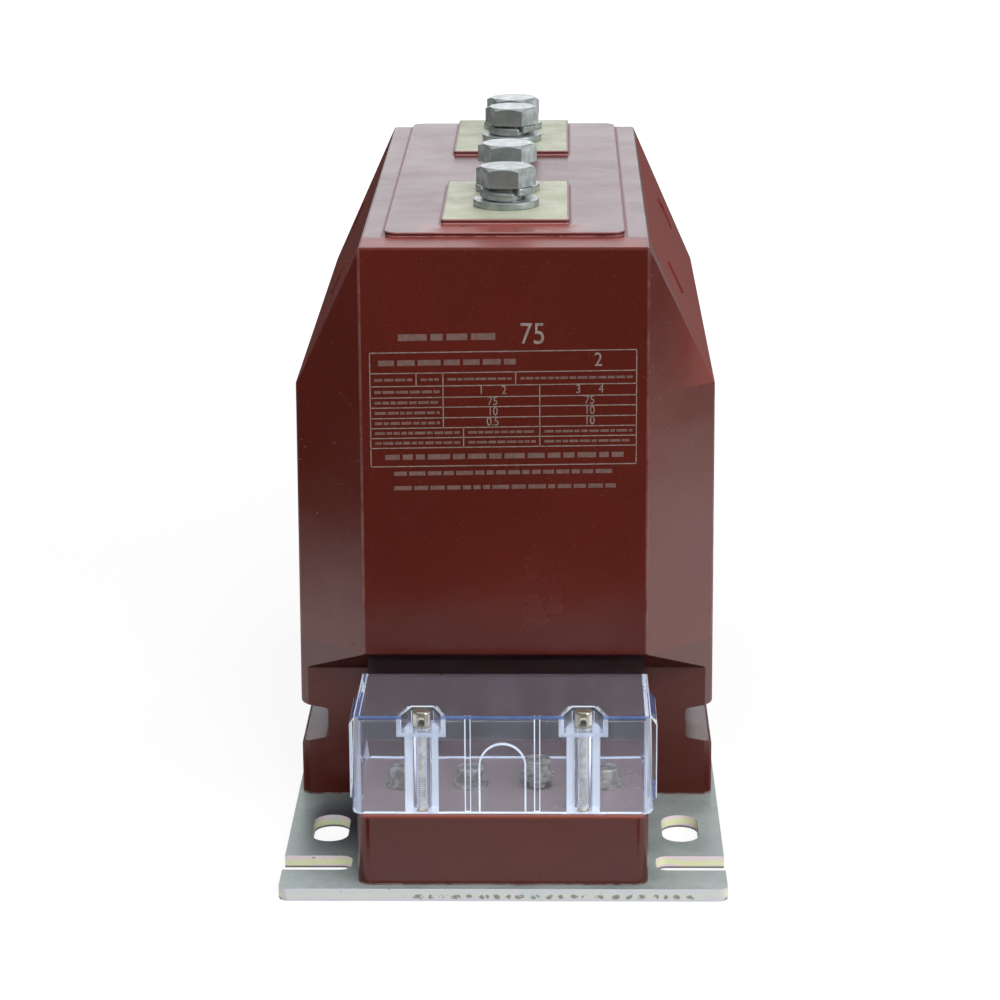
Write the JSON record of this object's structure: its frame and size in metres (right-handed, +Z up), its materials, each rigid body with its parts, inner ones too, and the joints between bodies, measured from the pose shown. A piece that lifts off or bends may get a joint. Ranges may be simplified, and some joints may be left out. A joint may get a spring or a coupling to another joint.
{
  "type": "cast resin current transformer",
  "caption": "Epoxy cast block current transformer with top primary terminals, a covered secondary terminal block and a slotted steel base plate.",
  "frame": {"origin": "centre of the base plate's underside", "axes": "+Z up, -Y towards the secondary terminal cover, +X to the right seen from that end"},
  "size_m": [0.154, 0.355, 0.2343],
  "materials": {
    "resin": "satin cast epoxy with fine casting marks",
    "zinc_plate": "zinc plated with faint yellow and pink passivation",
    "terminal_plating": "matt tin plating on copper",
    "bolt_zinc": "bright zinc plating",
    "screw_zinc": "dull zinc plating",
    "brass": "turned",
    "copper": "enamelled wire and bare strap",
    "core_steel": "wound strip",
    "clear_cover": "clear polycarbonate",
    "seal_metal": "nickel plated"
  },
  "bodies": {
    "root": {"resin_body": "resin", "base_plate": "zinc_plate", "base_plate_screws": "bolt_zinc", "base_plate_inserts": "brass", "primary_terminal_1": "terminal_plating", "primary_terminal_2": "terminal_plating", "primary_winding": "copper", "primary_strap_1": "copper", "primary_strap_2": "copper", "metering_core": "core_steel", "protection_core": "core_steel", "metering_winding": "copper", "protection_winding": "copper", "metering_leads": "copper", "protection_leads": "copper", "secondary_inserts": "brass", "secondary_screws": "screw_zinc", "secondary_flat_washers": "screw_zinc", "secondary_spring_washers": "screw_zinc", "primary_bolts": "bolt_zinc", "primary_flat_washers": "bolt_zinc", "primary_spring_washers": "bolt_zinc", "terminal_cover": "clear_cover", "seal_screws": "seal_metal", "seal_screw_inserts": "brass"}
  },
  "joints": []
}
